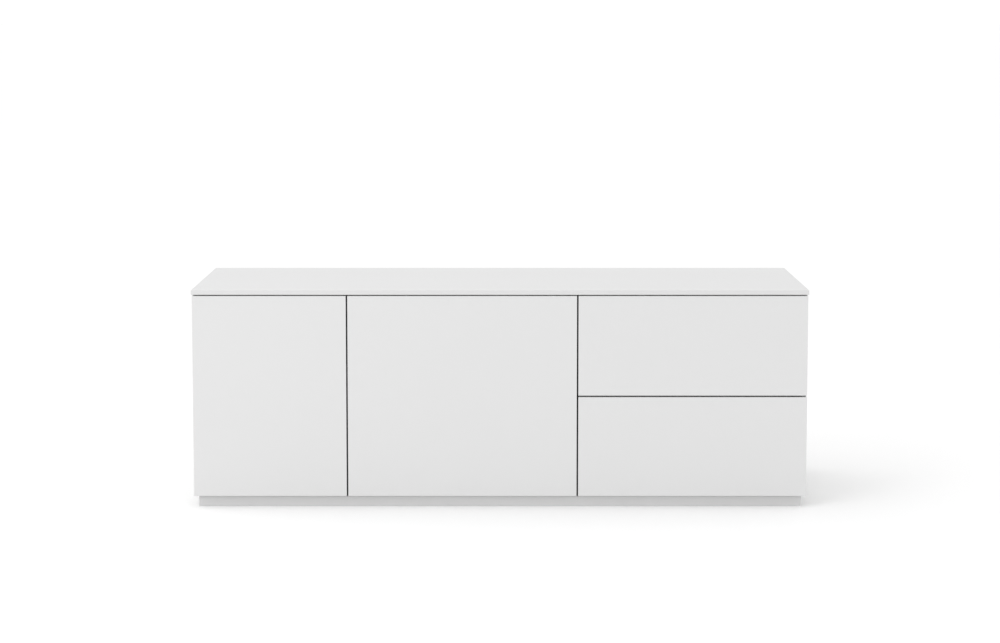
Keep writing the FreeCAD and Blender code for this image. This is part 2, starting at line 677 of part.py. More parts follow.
cabinet_rail_spots = []
runner_screw_spots = []
drawer_latch_spots = []
for name, front_level in (
    ("lower", FRONT_LEVEL),
    ("upper", f"{FRONT_LEVEL} + {front_high} + reveal"),
):
    box = f"{front_level} + lower_box_level - ({FRONT_LEVEL})"
    bottom_level = f"{box} + drawer_bottom_rise"
    runner_level = f"{box} + runner_rise"
    label = name + "_drawer"
    front = board(label + "_front", (DRAWER_START, "front_face", front_level),
                  (front_wide, "board", front_high), soft=True)
    side_long = (
        "drawer_board", f"drawer_rear - ({DOOR_BACK})", "drawer_side_height"
    )
    left = board(label + "_left_side", (BOX_LEFT, DOOR_BACK, box), side_long)
    right = board(label + "_right_side", (BOX_RIGHT + " - drawer_board", DOOR_BACK, box), side_long)
    back_start = BOX_LEFT + " + drawer_board"
    back_wide = f"{BOX_RIGHT} - ({BOX_LEFT}) - 2 * drawer_board"
    back = board(
        label + "_back",
        (back_start, "drawer_rear - drawer_board", bottom_level + " + drawer_bottom_board"),
        (back_wide, "drawer_board",
         "drawer_side_height - drawer_bottom_rise - drawer_bottom_board"),
    )
    sheet_corner = (back_start + " - slot_depth", DOOR_BACK + " - slot_depth", bottom_level)
    sheet_size = (
        back_wide + " + 2 * slot_depth", f"drawer_rear + slot_depth - ({DOOR_BACK})",
        "drawer_bottom_board",
    )
    board(label + "_bottom", sheet_corner, sheet_size)
    for panel in (front, left, right):
        groove(panel, sheet_corner, sheet_size)

    pegs = []
    for rise in ("40", "drawer_side_height - 40"):
        for side, out in ((left, "-x"), (right, "x")):
            centre = BOX_LEFT + " + drawer_board / 2"
            inner = back_start
            if side is right:
                centre = BOX_RIGHT + " - drawer_board / 2"
                inner = BOX_RIGHT + " - drawer_board"
            dowelled(side, front, (centre, DOOR_BACK, f"{box} + {rise}"), "-y", pegs)
            corner = (inner, "drawer_rear - drawer_board / 2", f"{box} + {rise}")
            dowelled(back, side, corner, out, pegs)
    copies(label + "_dowels", (dowel, pegs))

    fixed = (
        (RIGHT_PART_END, "z", right_part, "-x"),
        (RIGHT_IN, "half turn", right_side, "x"),
    )
    middle_spots = []
    drawer_spots = []
    drawer_screws = []
    for wall, way, panel, out in fixed:
        inward = OPPOSITE[out]
        back_to_front = "half turn" if way == "z" else "z"
        start = (wall, runner_mid, runner_level)
        outer_face = step_along(start, inward, "runner_width")
        cabinet_rail_spots.append((start, way))
        middle_spots.append((step_along(start, inward, "runner_steel + ball_lane"), way))
        drawer_spots.append((outer_face, back_to_front))
        side = left if way == "z" else right
        for row in ("-runner_screw_row", "runner_screw_row"):
            spot = moved(start, "y", row)
            bore(panel, spot, out, "runner_screw_width", "runner_screw_length")
            runner_screw_spots.append((step_along(spot, inward, "runner_steel"), out))
            spot = moved(outer_face, "y", row)
            bore(side, spot, inward, "runner_screw_width", "runner_screw_length")
            drawer_screws.append((step_along(spot, out, "runner_steel"), inward))
    copies(label + "_middle_rails", (middle_rail, middle_spots))
    copies(label + "_rails", (drawer_rail, drawer_spots), (runner_screw, drawer_screws))

    drawer_latch_spots.append(((RIGHT_PART_END, "drawer_latch_start", runner_level), "z"))
    tip = (BOX_LEFT + " + drawer_board / 2", "drawer_rear", runner_level)
    copies(label + "_plunger", (plunger, [(tip, "y")]))
copies("cabinet_rails", (cabinet_rail, cabinet_rail_spots))
copies("wall_screws", (screw, plate_screw_spots), (runner_screw, runner_screw_spots))
copies("drawer_latch_housings", (drawer_latch, drawer_latch_spots))


# Check and write --------------------------------------------------------------
doc.recompute()
for thing in doc.Objects:
    if "Invalid" in thing.State or "Error" in thing.State:
        raise SystemExit(f"{thing.Label} did not recompute: {thing.State}")

os.makedirs("parts", exist_ok=True)
for label, thing in nodes.items():
    thing.Label = label
    shape = thing.Shape
    if shape.isNull() or not shape.isValid() or not shape.Solids:
        raise SystemExit(f"{label} has no sound shape")
    shape.exportStep(f"parts/{label}.step")
    size = shape.BoundBox
    print(f"{label}: {len(shape.Solids)} solids, {size.XLength:.1f} x {size.YLength:.1f}"
          f" x {size.ZLength:.1f} mm, {shape.Volume / 1000:.1f} cm3")
print(len(nodes), "nodes")
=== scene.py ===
# %% [markdown]
# # A white lacquered television board
#
# The real object is a low sideboard: a body of white boards on a set-back plinth, a thin lacquered top
# that laps over the fronts, a narrow and a wide door, and two drawers. It has no handles, so a push latch
# behind each front kicks it open. Its whole look is in a few things: soft white lacquer, very small
# rounded edges, and thin black gaps. We begin with the measured model as a fixed frame, because every
# further piece takes its place from it.

# %% Load the measured model
import json
import math
from collections import namedtuple

import bmesh
import bpy
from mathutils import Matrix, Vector


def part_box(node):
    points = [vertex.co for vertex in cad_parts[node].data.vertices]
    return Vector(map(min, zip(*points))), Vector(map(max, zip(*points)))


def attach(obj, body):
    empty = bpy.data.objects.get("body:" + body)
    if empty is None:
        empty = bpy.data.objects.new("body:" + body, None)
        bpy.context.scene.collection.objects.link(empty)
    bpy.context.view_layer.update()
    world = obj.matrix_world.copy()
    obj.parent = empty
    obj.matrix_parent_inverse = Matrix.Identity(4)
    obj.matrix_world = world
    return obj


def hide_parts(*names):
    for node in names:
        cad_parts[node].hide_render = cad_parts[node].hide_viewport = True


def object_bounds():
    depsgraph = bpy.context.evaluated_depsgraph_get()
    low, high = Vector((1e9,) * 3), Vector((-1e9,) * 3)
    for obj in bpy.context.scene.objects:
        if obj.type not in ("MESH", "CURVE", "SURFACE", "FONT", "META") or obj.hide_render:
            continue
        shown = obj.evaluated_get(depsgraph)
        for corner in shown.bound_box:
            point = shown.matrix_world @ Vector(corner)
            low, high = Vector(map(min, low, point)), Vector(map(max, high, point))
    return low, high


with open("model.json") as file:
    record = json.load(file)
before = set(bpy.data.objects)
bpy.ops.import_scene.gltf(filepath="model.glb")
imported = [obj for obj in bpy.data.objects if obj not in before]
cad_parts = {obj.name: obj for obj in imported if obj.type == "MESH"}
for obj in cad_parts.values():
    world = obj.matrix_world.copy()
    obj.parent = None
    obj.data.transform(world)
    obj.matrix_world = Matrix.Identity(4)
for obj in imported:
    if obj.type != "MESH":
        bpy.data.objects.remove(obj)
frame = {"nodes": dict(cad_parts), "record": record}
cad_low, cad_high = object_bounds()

MM = 0.001
nodes = frame["nodes"]
print("board", [round(high - low, 3) for low, high in zip(cad_low, cad_high)], "m,", len(nodes), "pieces")

# %% [markdown]
# ## The camera
#
# A piece of furniture is shown from a little above its own top, and from far enough away that its
# uprights stay upright. One could use a level camera with a strongly shifted lens, as an architect's
# camera does. Here a gentle downward tilt shares that work with a small shift, so that the board also
# sits well in the frame when the camera goes round it.

# %% Place the camera
LENS = 78.21
TILT = math.radians(5)
DISTANCE = 5.576
EYE_HEIGHT = 1.2811

camera_data = bpy.data.cameras.new("studio_camera")
camera_data.lens = LENS
camera_data.sensor_width = 36
camera_data.shift_y = -0.1172
camera_data.clip_end = 1000
camera = bpy.data.objects.new("studio_camera", camera_data)
camera.location = (0, cad_low.y - DISTANCE, EYE_HEIGHT)
camera.rotation_euler = (math.pi / 2 - TILT, 0, 0)
bpy.context.scene.collection.objects.link(camera)
bpy.context.scene.camera = camera
print("camera", [round(c, 3) for c in camera.location])

# %% [markdown]
# ## The studio
#
# White furniture on a white floor needs more care with its light than with anything else. In a
# white studio most of the light comes from the walls all round, a little more of it from low down than
# from above. Many area lamps could stand in for the walls, but a plain white world does it without them.
# It is graded by height, and the plain colour transform keeps white paper white.

# %% Light the studio's walls
HORIZON_GLOW = 1.1
ZENITH_GLOW = 0.95
GLOW_FADES_BY = 0.25

world = bpy.data.worlds.new("white_studio")
world.use_nodes = True
sky = world.node_tree
direction = sky.nodes.new("ShaderNodeTexCoord")
split = sky.nodes.new("ShaderNodeSeparateXYZ")
glow = sky.nodes.new("ShaderNodeMapRange")
glow.inputs["From Max"].default_value = GLOW_FADES_BY
glow.inputs["To Min"].default_value = HORIZON_GLOW
glow.inputs["To Max"].default_value = ZENITH_GLOW
sky.links.new(direction.outputs["Generated"], split.inputs[0])
sky.links.new(split.outputs["Z"], glow.inputs["Value"])
sky.links.new(glow.outputs["Result"], sky.nodes["Background"].inputs["Strength"])
sky.nodes["Background"].inputs["Color"].default_value = (1, 1, 1, 1)
bpy.context.scene.world = world
bpy.context.scene.view_settings.view_transform = "Standard"
print("walls glow", HORIZON_GLOW, "at the horizon and", ZENITH_GLOW, "overhead")

# %% [markdown]
# ### Two lamps
#
# Walls alone would leave the board flat. A soft box in front and to the left makes the fronts darken
# slowly towards the lower right, because it is near. A far lamp on the left lights the whole floor
# evenly and lays one soft shadow on the right. A single near lamp could do both, but its light would
# fall away over the floor, and the paper would turn grey.

# %% Hang the lamps


def aimed(lamp_data, place, aim=(0, 0, 0.2)):
    """Hangs a lamp at a place and turns it towards a point of the board."""
    lamp = bpy.data.objects.new(lamp_data.name, lamp_data)
    lamp.location = place
    lamp.rotation_euler = (Vector(aim) - Vector(place)).to_track_quat("-Z", "Y").to_euler()
    bpy.context.scene.collection.objects.link(lamp)


soft_box = bpy.data.lights.new("front_light", "AREA")
soft_box.shape = "RECTANGLE"
soft_box.size = 2.2
soft_box.size_y = 1.8
soft_box.energy = 30
aimed(soft_box, (-2.6, -3.0, 3.4))

far_lamp = bpy.data.lights.new("side_light", "SUN")
far_lamp.energy = 0.38
far_lamp.angle = math.radians(60)
aimed(far_lamp, (-4.0, 0.4, 6.0))

# %% [markdown]
# ## Finishes
#
# Every finish is one Principled shader with a few procedural nodes. Numbers that hold all over a surface
# are set on the shader itself. The nodes only add what varies: a faint difference in tone, and a small
# bump. The bump sizes are the real ones, because a texture at the wrong size is what makes a render look
# like a toy.

# %% Start a finish


def finish(name, colour, roughness, metallic=0.0, **sockets):
    """A new material whose own Principled shader holds its plain values."""
    made = bpy.data.materials.new(name)
    made.use_nodes = True
    shader = made.node_tree.nodes["Principled BSDF"]
    shader.inputs["Base Color"].default_value = (*colour, 1)
    shader.inputs["Roughness"].default_value = roughness
    shader.inputs["Metallic"].default_value = metallic
    for socket, value in sockets.items():
        shader.inputs[socket.replace("_", " ")].default_value = value
    return made


def dress(made, *names):
    """Gives a finish to measured pieces by name."""
    for name in names:
        for place in nodes[name].material_slots:
            place.material = made


print("a finish starts from one shader")

# %% [markdown]
# ### What varies in a finish
#
# Three small helpers cover all that a painter or a plater leaves behind. Noise is laid in the piece's own
# coordinates, so it moves with a door and never slides. Relief turns it into a bump whose height is given
# in metres, and tones turn it into two near shades of one colour.

# %% Vary a finish


def noise(made, scale, detail=2.0, stretch=(1, 1, 1)):
    """Noise in the piece's own coordinates, in turns per metre."""
    tree = made.node_tree
    place = tree.nodes.new("ShaderNodeTexCoord")
    spread = tree.nodes.new("ShaderNodeMapping")
    spread.inputs["Scale"].default_value = stretch
    grain = tree.nodes.new("ShaderNodeTexNoise")
    grain.inputs["Scale"].default_value = scale
    grain.inputs["Detail"].default_value = detail
    tree.links.new(place.outputs["Object"], spread.inputs["Vector"])
    tree.links.new(spread.outputs["Vector"], grain.inputs["Vector"])
    return grain


def relief(made, pattern, height, strength):
    """A bump whose height is given in metres."""
    tree = made.node_tree
    bump = tree.nodes.new("ShaderNodeBump")
    bump.inputs["Distance"].default_value = height
    bump.inputs["Strength"].default_value = strength
    tree.links.new(pattern.outputs[0], bump.inputs["Height"])
    tree.links.new(bump.outputs["Normal"], tree.nodes["Principled BSDF"].inputs["Normal"])


def tones(made, pattern, dark, light, socket="Base Color"):
    """A ramp that turns a pattern into two near tones of a colour, or of a grey value."""
    tree = made.node_tree
    ramp = tree.nodes.new("ShaderNodeValToRGB")
    for stop, place, tone in zip(ramp.color_ramp.elements, (0.3, 0.7), (dark, light)):
        stop.position = place
        stop.color = (*tone, 1)
    tree.links.new(pattern.outputs[0], ramp.inputs["Fac"])
    tree.links.new(ramp.outputs["Color"], tree.nodes["Principled BSDF"].inputs[socket])


print("noise, relief and tones are ready")

# %% [markdown]
# ### Soft white lacquer
#
# The fronts and the top are fibreboard, sprayed white and rubbed to a satin. Sprayed lacquer isn't quite
# flat: it dries to a skin with a ripple a millimetre or two across and only microns deep, which one sees
# where a lamp is mirrored. It could be an image, but noise at that size does it without a seam. The top
# is rubbed down further than the fronts, because a shiny top shows every fingerprint. Its white is also
# a little darker than the fronts': painted shade, against the stronger light that falls on it from above.
# The plinth's white is darker still: painted shade for the shadow under the overhanging fronts.

# %% Spray the fronts, the top and the plinth


def lacquer(name, grey, coat, gloss):
    """White lacquer: a tone that drifts a little, a fine ripple, and a thin clear coat."""
    plain = {"Coat_Weight": coat, "Coat_Roughness": 0.22, "Specular_IOR_Level": gloss}
    made = finish(name, [grey] * 3, 0.38, **plain)
    tones(made, noise(made, 3.0), [grey * 0.996] * 3, [grey * 1.004] * 3)
    relief(made, noise(made, 420.0, 3.0), 0.06 * MM, 0.35)
    return made


front_lacquer = lacquer("satin_white_lacquer", 0.705, 0.25, 0.5)
dress(front_lacquer, "left_door", "middle_door", "upper_drawer_front", "lower_drawer_front")
# The top is a darker copy of the front lacquer: painted shade against the stronger light from above.
dress(lacquer("top_lacquer_darkened_painted_shade", 0.69, 0.05, 0.12), "top_panel")
# The plinth is a darker copy again: painted shade for the shadow under the overhanging fronts.
plinth_shade_lacquer = lacquer("plinth_lacquer_painted_shade", 0.62, 0.25, 0.5)
for rail in ("front_rail", "rear_rail", "end_rails", "cross_rails"):
    dress(plinth_shade_lacquer, "plinth_" + rail)
print("lacquered", sum("lacquer" in made.name for made in bpy.data.materials), "ways")

# %% [markdown]
# ### Faced boards
#
# The body is particle board faced with white melamine paper, which has a fine pearl pressed into it and
# is a little duller than the lacquer. The thin backs are hardboard with a printed white face. It is
# duller still, and the fibres below show through as a slight unevenness.

# %% Face the body boards and the backs
melamine = finish("pearl_white_melamine", (0.70, 0.70, 0.695), 0.48)
relief(melamine, noise(melamine, 900.0), 0.08 * MM, 0.5)
dress(melamine, "left_side_panel", "right_side_panel", "bottom_panel", "left_partition")
dress(melamine, "right_partition", "left_shelf", "middle_shelf")
for part in ("left_side", "right_side", "back", "bottom"):
    dress(melamine, "upper_drawer_" + part, "lower_drawer_" + part)

backing = finish("white_faced_hardboard", (0.68, 0.68, 0.675), 0.6)
relief(backing, noise(backing, 500.0, 3.0), 0.1 * MM, 0.5)
dress(backing, "left_back_panel", "middle_back_panel", "right_back_panel")
print("faced boards:", melamine.name, "and", backing.name)

# %% [markdown]
# ### Black and white edges
#
# The front edges of the body are closed with a band, which can hardly be seen from in front. Its black
# is painted shade: it makes the gaps between the white fronts read as clean black lines, as deep shade
# would. The shelves and drawers have a white band. Where a hole is cut in a thin back, the raw brown
# fibre stays bare.

# %% Mix the edge finishes
# The band's black is painted shade, which keeps the gaps between the fronts dark.
gap_shade_black = finish("black_edge_band_painted_gap_shade", (0.012, 0.012, 0.013), 0.55)
relief(gap_shade_black, noise(gap_shade_black, 700.0), 0.05 * MM, 0.4)
dress(gap_shade_black, "carcass_edge_bands")

band_white = finish("white_edge_band", (0.72, 0.72, 0.715), 0.42)
relief(band_white, noise(band_white, 700.0, stretch=(0.2, 1, 1)), 0.05 * MM, 0.4)

raw_fibre = finish("raw_hardboard_edge", (0.30, 0.19, 0.11), 0.9)
tones(raw_fibre, noise(raw_fibre, 1200.0, 5.0), (0.22, 0.135, 0.075), (0.38, 0.25, 0.15))
relief(raw_fibre, noise(raw_fibre, 1500.0, 4.0), 0.3 * MM, 0.8)
print("edges:", gap_shade_black.name, band_white.name, raw_fibre.name)

# %% [markdown]
# ### Plated steel
#
# Zinc plate dries in faint patches, so its colour and its shine both wander. A rolled rail has fine lines
# along its length, drawn by the rollers, which a noise stretched along the rail gives. Nickel is warmer
# and brighter, and shows the faint waves of the pressing under it.

# %% Plate the steel
zinc = finish("zinc_plated_steel", (0.66, 0.67, 0.69), 0.32, metallic=1.0)
tones(zinc, noise(zinc, 160.0, 4.0), (0.58, 0.59, 0.61), (0.72, 0.73, 0.75))
tones(zinc, noise(zinc, 90.0, 3.0), (0.26, 0.26, 0.26), (0.4, 0.4, 0.4), socket="Roughness")

rail_steel = finish("rolled_zinc_rail", (0.62, 0.63, 0.65), 0.3, metallic=1.0)
rolling_lines = noise(rail_steel, 900.0, stretch=(1, 0.01, 1))
tones(rail_steel, rolling_lines, (0.56, 0.57, 0.59), (0.68, 0.69, 0.71))
relief(rail_steel, rolling_lines, 0.04 * MM, 0.4)

nickel = finish("nickel_plated_steel", (0.70, 0.69, 0.66), 0.2, metallic=1.0)
tones(nickel, noise(nickel, 120.0, 3.0), (0.66, 0.65, 0.62), (0.74, 0.73, 0.70))
relief(nickel, noise(nickel, 300.0), 0.05 * MM, 0.2)
print("plated:", zinc.name, rail_steel.name, nickel.name)

# %% [markdown]
# ### Plastic, gel and wood
#
# The latches are moulded in grey plastic with the fine grain of a spark-eroded mould. The gel dots let
# light through. The dowels are beech, which shows small darker flecks whichever way it is cut, so an even
# noise does for dowels that point every way.

# %% Mould the plastics and cut the beech
latch_plastic = finish("light_grey_plastic", (0.42, 0.43, 0.44), 0.45)
tones(latch_plastic, noise(latch_plastic, 60.0), (0.41, 0.42, 0.43), (0.43, 0.44, 0.45))
relief(latch_plastic, noise(latch_plastic, 1500.0), 0.05 * MM, 0.5)

bumper_gel = finish("clear_soft_bumper", (0.8, 0.8, 0.8), 0.3, Transmission_Weight=0.4)
relief(bumper_gel, noise(bumper_gel, 500.0), 0.04 * MM, 0.3)

beech = finish("beech_dowel", (0.52, 0.36, 0.2), 0.6)
tones(beech, noise(beech, 500.0, 4.0), (0.46, 0.31, 0.17), (0.58, 0.41, 0.24))
relief(beech, noise(beech, 700.0, 3.0), 0.1 * MM, 0.5)
print("finishes so far:", len(bpy.data.materials))

# %% [markdown]
# ### The studio floor
#
# It is plain matt white paper, so that the board's own soft shadow is all that one sees on it. It reaches
# so far that its end lies on the horizon, where it meets the white wall. The wall could curve up from it,
# as a studio's does, but a long floor is simpler and gives the same picture.

# %% Lay the floor
FLOOR_REACH = 300

bpy.ops.mesh.primitive_plane_add(size=2 * FLOOR_REACH)
floor = bpy.context.active_object
floor.name = "studio_floor"
paper = finish("white_studio_floor", (0.96, 0.96, 0.96), 0.9, Specular_IOR_Level=0.1)
relief(paper, noise(paper, 60.0), 0.1 * MM, 0.1)
floor.data.materials.append(paper)
print("floor reaches", FLOOR_REACH, "m each way")

# %% [markdown]
# ## Fittings
#
# The measured model gives every fitting its true size and place, but as plain forms. What makes a hinge,
# a screw or a runner look real is small: a cross in a screw's head, a rolled bend, an eased edge, a row
# of balls. We make those in mesh code. A measured piece often holds many equal solids, so we first need
# to tell them apart: corners that share an edge belong to one solid, and each solid gets a box.

# %% Find each solid of a measured piece
Box = namedtuple("Box", "low high middle size")


def box_of(low, high):
    """A box from its two corners, with its middle and its size."""
    low, high = Vector(low), Vector(high)
    return Box(low, high, (low + high) / 2, high - low)


def joined(node):
    """A measured piece as an editable mesh, its faces joined at their shared corners."""
    form = bmesh.new()
    form.from_mesh(nodes[node].data)
    bmesh.ops.remove_doubles(form, verts=form.verts, dist=0.001 * MM)
    return form


def solids(node):
    """The box of each separate solid of a measured piece."""
    form = joined(node)
    seen, found = set(), []
    for start in form.verts:
        if start in seen:
            continue
        seen.add(start)
        group = [start]
        for corner in group:
            fresh = {edge.other_vert(corner) for edge in corner.link_edges} - seen
            seen |= fresh
            group += fresh
        lows, highs = [[pick(corner.co[k] for corner in group) for k in range(3)] for pick in (min, max)]
        found.append(box_of(lows, highs))
    form.free()
    return found


right_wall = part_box("right_side_panel")[0].x
shelves = [box_of(*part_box(f"{name}_shelf")) for name in ("left", "middle")]
print("cam fittings:", len(solids("cam_fittings")), "solids; wall screws:", len(solids("wall_screws")))

# %% [markdown]
# ### Shapes round an axis
#
# Screws, cams, pins, plungers and bumpers are all turned or moulded round an axis. One helper can make
# them all from rings along the axis. A ring is usually a circle, but it can also be a cross, for the slot
# that a screwdriver fits, a soft square, for a moulded housing, or fluted, for a dowel. The same number
# of corners in each lets a circle pass straight into a cross, with no boolean.

# %% Shape a ring
CROSS_SLOPE = math.tan(math.radians(15))
SQUARENESS = 9
FLUTES = 12
FLUTE_DEPTH = 0.1
TINY = 1e-9


def reach(shape, angle):
    """How far a ring's edge lies from the axis in one direction."""
    if isinstance(shape, (int, float)):
        return shape
    kind, half = shape
    if kind == "fluted":
        return half * (1 - FLUTE_DEPTH * (1 - math.cos(FLUTES * angle)) / 2)
    across, along = max(abs(math.cos(angle)), TINY), max(abs(math.sin(angle)), TINY)
    if kind == "cross":
        arm = half / CROSS_SLOPE
        return max(min(arm / across, half / along), min(half / across, arm / along))
    return half / (across**SQUARENESS + along**SQUARENESS) ** (1 / SQUARENESS)


print("a cross reaches", round(1 / CROSS_SLOPE, 2), "times as far as its arm is half wide")

# %% [markdown]
# ### Skinning the rings
#
# Blender can spin a profile round an axis, but only as circles. Here we lay the corners of each ring
# ourselves and join every ring to the next with four-sided faces. The first and the last ring are closed
# with a cap, or joined to each other where the form is a tube's wall.

# %% Turn a form along an axis
AXES = {"x": Vector((1, 0, 0)), "y": Vector((0, 1, 0)), "z": Vector((0, 0, 1))}


def turned(form, rings, at, towards, steps=24, tube=False):
    """Adds a skin over rings of (height, shape) in millimetres, from a place and along a direction."""
    axis = AXES[towards[-1]] * (-1 if towards.startswith("-") else 1)
    side = AXES["z"] if abs(axis.z) < 0.5 else AXES["x"]
    other = axis.cross(side)
    loops = []
    for height, shape in rings:
        loop = []
        for step in range(steps):
            angle = 2 * math.pi * step / steps
            out = side * math.cos(angle) + other * math.sin(angle)
            spot = out * reach(shape, angle) + axis * height
            loop.append(form.verts.new(Vector(at) + spot * MM))
        loops.append(loop)
    for lower, upper in zip(loops, loops[1:] + (loops[:1] if tube else [])):
        for step in range(steps):
            form.faces.new((lower[step - 1], lower[step], upper[step], upper[step - 1]))
    if not tube:
        form.faces.new(loops[0])
        form.faces.new(loops[-1])


print("directions:", [sign + axis for axis in AXES for sign in ("", "-")])

# %% [markdown]
# ### Finished pieces
#
# Every new piece ends in the same way: its faces are turned outwards, it gets its finish, round parts are
# smoothed while edges stay crisp, and it is hung on a body of the frame, so that it moves as the real one
# does. Where it stands for a measured piece, it says so. Blocks with softened edges come up often enough
# to have a helper too.

# %% Hang a piece on the frame


def piece(name, form, body, slot, made, *stands_for, crease=32):
    """Makes a piece from a finished form and hangs it on a body of the frame."""
    bmesh.ops.recalc_face_normals(form, faces=form.faces)
    mesh = bpy.data.meshes.new(name)
    form.to_mesh(mesh)
    form.free()
    mesh.materials.append(made)
    mesh.shade_smooth()
    mesh.set_sharp_from_angle(angle=math.radians(crease))
    thing = bpy.data.objects.new(name, mesh)
    bpy.context.scene.collection.objects.link(thing)
    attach(thing, body)
    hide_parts(*stands_for)
    print(name, len(mesh.polygons), "faces, rides on", body)


def block(form, low, high, soft):
    """Adds a block between two corners, its edges rounded by some millimetres."""
    low, high = Vector(low), Vector(high)
    corners = bmesh.ops.create_cube(form, size=1)["verts"]
    for corner in corners:
        corner.co = Vector(low[k] + (corner.co[k] + 0.5) * (high[k] - low[k]) for k in range(3))
    edges = list(dict.fromkeys(edge for corner in corners for edge in corner.link_edges))
    bmesh.ops.bevel(form, geom=edges, offset=soft * MM, segments=2, profile=0.5, affect="EDGES")


# %% [markdown]
# ### Screws
#
# Two kinds hold the fittings: a short chipboard screw with a low domed head for the hinges, and a thick
# one with a flat head, level with the rail, for the runners. Both have a cross in the head and a thread.
# The thread is a row of ridges, not a helix: it is sunk in the board, so a helix would cost many faces
# that nobody sees.

# %% Shape the screws


def threaded(length, core, crest, pitch=1.6):
    """Rings of a pointed shank, from its tip to the underside of the head."""
    rings = [(0, 0.3), (1.5, core)]
    while rings[-1][0] + pitch < length - 1:
        height = rings[-1][0]
        rings += [(height + pitch / 2, crest), (height + pitch, core)]
    return rings + [(length, core)]


def domed_screw(form, at, towards, length=15, rise=1.4):
    """A screw whose head stands on the fitting; at is the tip of its shank."""
    top = length + rise
    head = [(length, 3.5), (top - 0.7, 3.5), (top - 0.25, 3.1), (top, 2.5)]
    recess = [(top, ("cross", 0.58)), (top - 1.0, ("cross", 0.42))]
    turned(form, threaded(length, 1.5, 1.95) + head + recess, at, towards)


def flat_screw(form, at, towards, length=12.2):
    """A thick screw whose head is level with the rail that it holds."""
    head = [(length - 1.0, 2.95), (length - 0.15, 2.95), (length, 2.8)]
    recess = [(length, ("cross", 0.55)), (length - 1.0, ("cross", 0.4))]
    turned(form, threaded(length - 1.2, 2.3, 2.85) + head + recess, at, towards)


print("a hinge screw has", len(threaded(15, 1.5, 1.95)), "rings below its head")

# %% [markdown]
# ### Driving the screws
#
# The measured screws say where each one is. In the left and middle bays and at the right partition the
# heads look to the right, and at the right wall they look to the left. The cup screws look out of the
# door's back.

# %% Drive the screws
LONGEST_RAIL_SCREW = 14 * MM

form = bmesh.new()
for spot in solids("wall_screws"):
    tip, towards = (spot.high.x, "-x") if spot.high.x > right_wall else (spot.low.x, "x")
    screw = flat_screw if spot.size.x < LONGEST_RAIL_SCREW else domed_screw
    screw(form, (tip, spot.middle.y, spot.middle.z), towards)
piece("wall_screws_turned", form, "carcass", "zinc_steel", zinc, "wall_screws")

for door in ("left", "middle"):
    form = bmesh.new()
    for spot in solids(f"{door}_cup_screws"):
        domed_screw(form, (spot.middle.x, spot.low.y, spot.middle.z), "y")
    body, replaced = f"{door}_door_leaf", f"{door}_cup_screws"
    piece(f"{door}_cup_screws_turned", form, body, "zinc_steel", zinc, replaced)

# %% [markdown]
# ### Cam locks and their bolts
#
# A cam lock is a cast disc in a blind hole. A driver turns it by the cross in its face, and it pulls in
# the head of a bolt, which is screwed into the other board. The disc's thin side tells which way it
# looks, and the bolt's long side tells which way it points, so no list of places is needed.

# %% Cast the cams and turn their bolts
CAM = [(0, 7.0), (0.5, 7.45), (12.1, 7.45), (12.4, 7.1), (12.4, 6.1), (11.9, 5.9),
       (11.9, ("cross", 1.3)), (8.0, ("cross", 1.0))]
BOLT = [(0, 2.6), (0.6, 3.4), (2.4, 3.4), (3.0, 2.0), (5.0, 2.0), (5.6, 3.3), (16.2, 3.3), (16.5, 2.1)]
for turn in range(5):
    BOLT += [(16.7 + 1.5 * turn, 2.45), (17.4 + 1.5 * turn, 2.45)]
BOLT += [(25.4, 1.6)]
LONGEST_CAM = 16 * MM


def at_end(spot, k, backwards):
    """The middle of a box's near or far end along one of its sides."""
    at = spot.middle.copy()
    at[k] = spot.high[k] if backwards else spot.low[k]
    return at


form = bmesh.new()
for spot in solids("cam_fittings"):
    thin, long = (pick(range(3), key=lambda k: spot.size[k]) for pick in (min, max))
    if spot.size[long] < LONGEST_CAM:
        backwards = thin == 2 or spot.middle.x > 0
        towards = ("-" if backwards else "") + "xyz"[thin]
        turned(form, CAM, at_end(spot, thin, backwards), towards, steps=48)
    else:
        backwards = spot.middle.x < 0 if long == 0 else spot.middle.z < shelves[0].low.z
        towards = ("-" if backwards else "") + "xyz"[long]
        turned(form, BOLT, at_end(spot, long, backwards), towards)
piece("cam_fittings_cast", form, "carcass", "zinc_steel", zinc, "cam_fittings")

# %% [markdown]
# ### Dowels
#
# Beech dowels keep the boards in line while the cams pull them together. They are pressed through a
# fluted die, so that air and glue can escape along the flutes, and their ends are chamfered to find the
# hole. Nobody sees them in a finished board, but a part is better whole.

# %% Flute the dowels
DOWEL = [(0, 3.2), (0.8, ("fluted", 4)), (29.2, ("fluted", 4)), (30, 3.2)]

for owner in ("wood", "upper_drawer", "lower_drawer"):
    form = bmesh.new()
    for spot in solids(owner + "_dowels"):
        long = max(range(3), key=lambda k: spot.size[k])
        turned(form, DOWEL, at_end(spot, long, False), "xyz"[long], steps=48)
    body = "carcass" if owner == "wood" else owner
    piece(owner + "_dowels_fluted", form, body, "beech", beech, owner + "_dowels")

# %% [markdown]
# ### Shelf pins
#
# A shelf pin is turned steel with a thin collar, which stops it at the wall and must fit in the
# millimetre that the shelf leaves there. Each pin looks from its wall towards the middle of its shelf.

# %% Turn the shelf pins
PIN = [(0, 2.1), (0.6, 2.45), (9, 2.45), (9, 3.4), (9.2, 3.5), (9.7, 3.5), (9.9, 3.3), (9.9, 2.45),
       (16.2, 2.45), (16.8, 2.1), (17, 1.5)]

form = bmesh.new()
for spot in solids("shelf_pins"):
    shelf = next(s for s in shelves if s.low.x < spot.high.x and s.high.x > spot.low.x)
    backwards = spot.middle.x > shelf.middle.x
    turned(form, PIN, at_end(spot, 0, backwards), "-x" if backwards else "x")
piece("shelf_pins_turned", form, "carcass", "nickel_steel", nickel, "shelf_pins")

